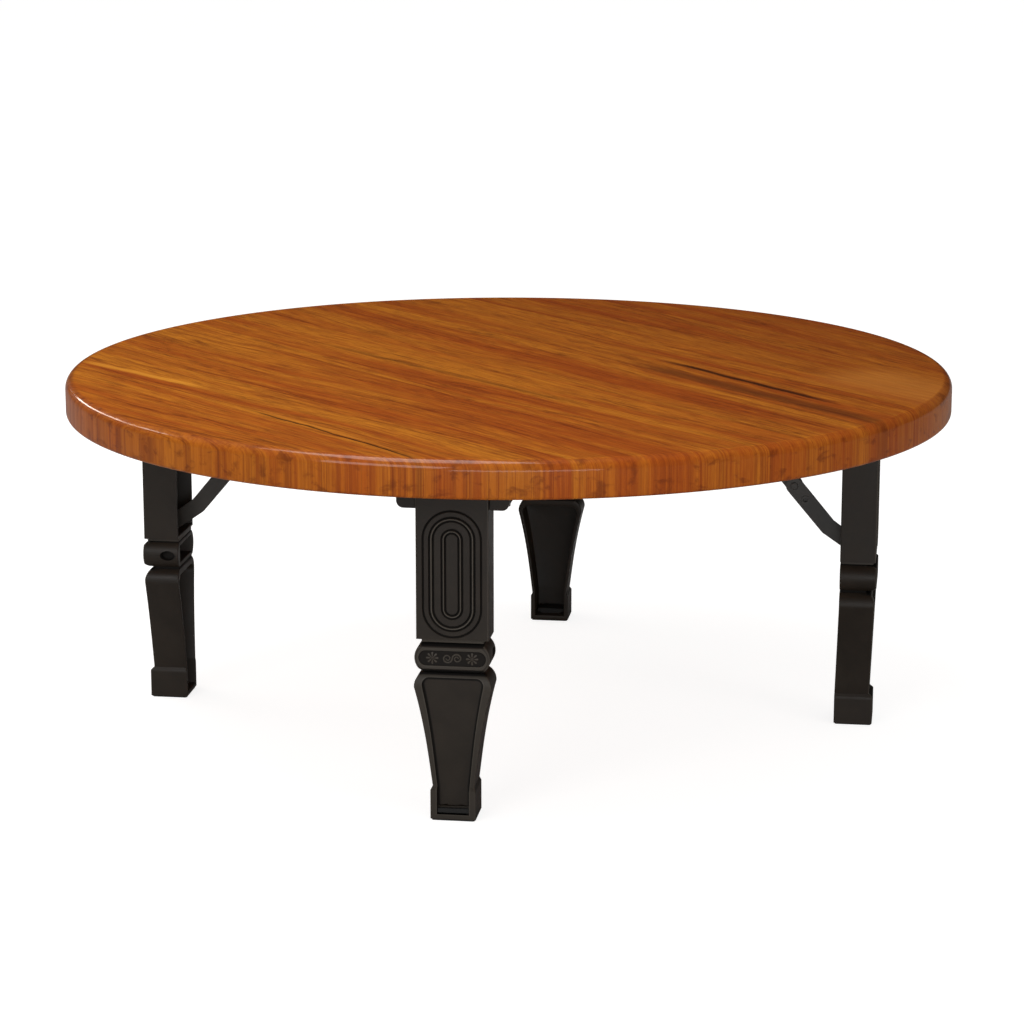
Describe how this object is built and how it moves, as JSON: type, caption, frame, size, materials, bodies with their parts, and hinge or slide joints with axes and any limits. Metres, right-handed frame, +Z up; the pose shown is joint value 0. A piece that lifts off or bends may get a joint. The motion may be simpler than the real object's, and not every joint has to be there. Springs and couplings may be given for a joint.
{
  "type": "folding low table",
  "caption": "Low round table of lacquered wood boards on inward-folding moulded legs, each held upright by a knee-jointed stay.",
  "frame": {"origin": "on the floor, under the middle of the round top", "axes": "+Z up; the legs stand on +X (right), +Y (back), -X (left) and -Y (front); the boards run at -45 degrees in plan"},
  "size_m": [0.8, 0.8, 0.32],
  "materials": {
    "wood_lacquer": "clear gloss lacquer over oiled brown wood",
    "leg_plastic": "satin moulded black",
    "stay_paint": "satin black paint on pressed steel",
    "zinc_steel": "zinc-plated",
    "foot_rubber": "matte"
  },
  "bodies": {
    "top": {"top_board_1": "wood_lacquer", "top_board_2": "wood_lacquer", "top_board_3": "wood_lacquer", "top_board_4": "wood_lacquer", "top_board_5": "wood_lacquer", "top_board_6": "wood_lacquer", "top_board_7": "wood_lacquer", "top_board_8": "wood_lacquer", "hinge_base_right": "leg_plastic", "base_screws_right": "zinc_steel", "leg_axle_right": "zinc_steel", "axle_push_nut_right": "zinc_steel", "stay_top_rivet_right": "stay_paint", "hinge_base_back": "leg_plastic", "base_screws_back": "zinc_steel", "leg_axle_back": "zinc_steel", "axle_push_nut_back": "zinc_steel", "stay_top_rivet_back": "stay_paint", "hinge_base_left": "leg_plastic", "base_screws_left": "zinc_steel", "leg_axle_left": "zinc_steel", "axle_push_nut_left": "zinc_steel", "stay_top_rivet_left": "stay_paint", "hinge_base_front": "leg_plastic", "base_screws_front": "zinc_steel", "leg_axle_front": "zinc_steel", "axle_push_nut_front": "zinc_steel", "stay_top_rivet_front": "stay_paint"},
    "leg_right": {"leg_right": "leg_plastic", "foot_pad_right": "foot_rubber", "stay_foot_rivet_right": "stay_paint"},
    "stay_upper_right": {"stay_upper_right": "stay_paint", "knee_rivet_tail_right": "stay_paint"},
    "stay_lower_right": {"stay_lower_right": "stay_paint", "knee_rivet_right": "stay_paint"},
    "leg_back": {"leg_back": "leg_plastic", "foot_pad_back": "foot_rubber", "stay_foot_rivet_back": "stay_paint"},
    "stay_upper_back": {"stay_upper_back": "stay_paint", "knee_rivet_tail_back": "stay_paint"},
    "stay_lower_back": {"stay_lower_back": "stay_paint", "knee_rivet_back": "stay_paint"},
    "leg_left": {"leg_left": "leg_plastic", "foot_pad_left": "foot_rubber", "stay_foot_rivet_left": "stay_paint"},
    "stay_upper_left": {"stay_upper_left": "stay_paint", "knee_rivet_tail_left": "stay_paint"},
    "stay_lower_left": {"stay_lower_left": "stay_paint", "knee_rivet_left": "stay_paint"},
    "leg_front": {"leg_front": "leg_plastic", "foot_pad_front": "foot_rubber", "stay_foot_rivet_front": "stay_paint"},
    "stay_upper_front": {"stay_upper_front": "stay_paint", "knee_rivet_tail_front": "stay_paint"},
    "stay_lower_front": {"stay_lower_front": "stay_paint", "knee_rivet_front": "stay_paint"}
  },
  "joints": [
    {"name": "leg_fold_right", "type": "hinge", "parent": "top", "child": "leg_right", "pos_m": [0.319, 0, 0.2705], "axis": [0, 1, 0], "range_deg": [0, 90]},
    {"name": "stay_upper_turn_right", "type": "hinge", "parent": "top", "child": "stay_upper_right", "pos_m": [0.214, 0, 0.2755], "axis": [0, 1, 0], "range_deg": [-42.84, 0]},
    {"name": "stay_lower_turn_right", "type": "hinge", "parent": "leg_right", "child": "stay_lower_right", "pos_m": [0.313, 0, 0.167], "axis": [0, 1, 0], "range_deg": [0, 53.3]},
    {"name": "leg_fold_back", "type": "hinge", "parent": "top", "child": "leg_back", "pos_m": [0, 0.319, 0.2705], "axis": [-1, 0, 0], "range_deg": [0, 90]},
    {"name": "stay_upper_turn_back", "type": "hinge", "parent": "top", "child": "stay_upper_back", "pos_m": [0, 0.214, 0.2755], "axis": [-1, 0, 0], "range_deg": [-42.84, 0]},
    {"name": "stay_lower_turn_back", "type": "hinge", "parent": "leg_back", "child": "stay_lower_back", "pos_m": [0, 0.313, 0.167], "axis": [-1, 0, 0], "range_deg": [0, 53.3]},
    {"name": "leg_fold_left", "type": "hinge", "parent": "top", "child": "leg_left", "pos_m": [-0.319, 0, 0.2705], "axis": [0, -1, 0], "range_deg": [0, 90]},
    {"name": "stay_upper_turn_left", "type": "hinge", "parent": "top", "child": "stay_upper_left", "pos_m": [-0.214, 0, 0.2755], "axis": [0, -1, 0], "range_deg": [-42.84, 0]},
    {"name": "stay_lower_turn_left", "type": "hinge", "parent": "leg_left", "child": "stay_lower_left", "pos_m": [-0.313, 0, 0.167], "axis": [0, -1, 0], "range_deg": [0, 53.3]},
    {"name": "leg_fold_front", "type": "hinge", "parent": "top", "child": "leg_front", "pos_m": [0, -0.319, 0.2705], "axis": [1, 0, 0], "range_deg": [0, 90]},
    {"name": "stay_upper_turn_front", "type": "hinge", "parent": "top", "child": "stay_upper_front", "pos_m": [0, -0.214, 0.2755], "axis": [1, 0, 0], "range_deg": [-42.84, 0]},
    {"name": "stay_lower_turn_front", "type": "hinge", "parent": "leg_front", "child": "stay_lower_front", "pos_m": [0, -0.313, 0.167], "axis": [1, 0, 0], "range_deg": [0, 53.3]}
  ],
  "couplings": [
    {"joint": "stay_upper_turn_right", "follows": "leg_fold_right", "ratio": -0.47592},
    {"joint": "stay_lower_turn_right", "follows": "leg_fold_right", "ratio": 0.59213},
    {"joint": "stay_upper_turn_back", "follows": "leg_fold_back", "ratio": -0.47592},
    {"joint": "stay_lower_turn_back", "follows": "leg_fold_back", "ratio": 0.59213},
    {"joint": "stay_upper_turn_left", "follows": "leg_fold_left", "ratio": -0.47592},
    {"joint": "stay_lower_turn_left", "follows": "leg_fold_left", "ratio": 0.59213},
    {"joint": "stay_upper_turn_front", "follows": "leg_fold_front", "ratio": -0.47592},
    {"joint": "stay_lower_turn_front", "follows": "leg_fold_front", "ratio": 0.59213}
  ]
}
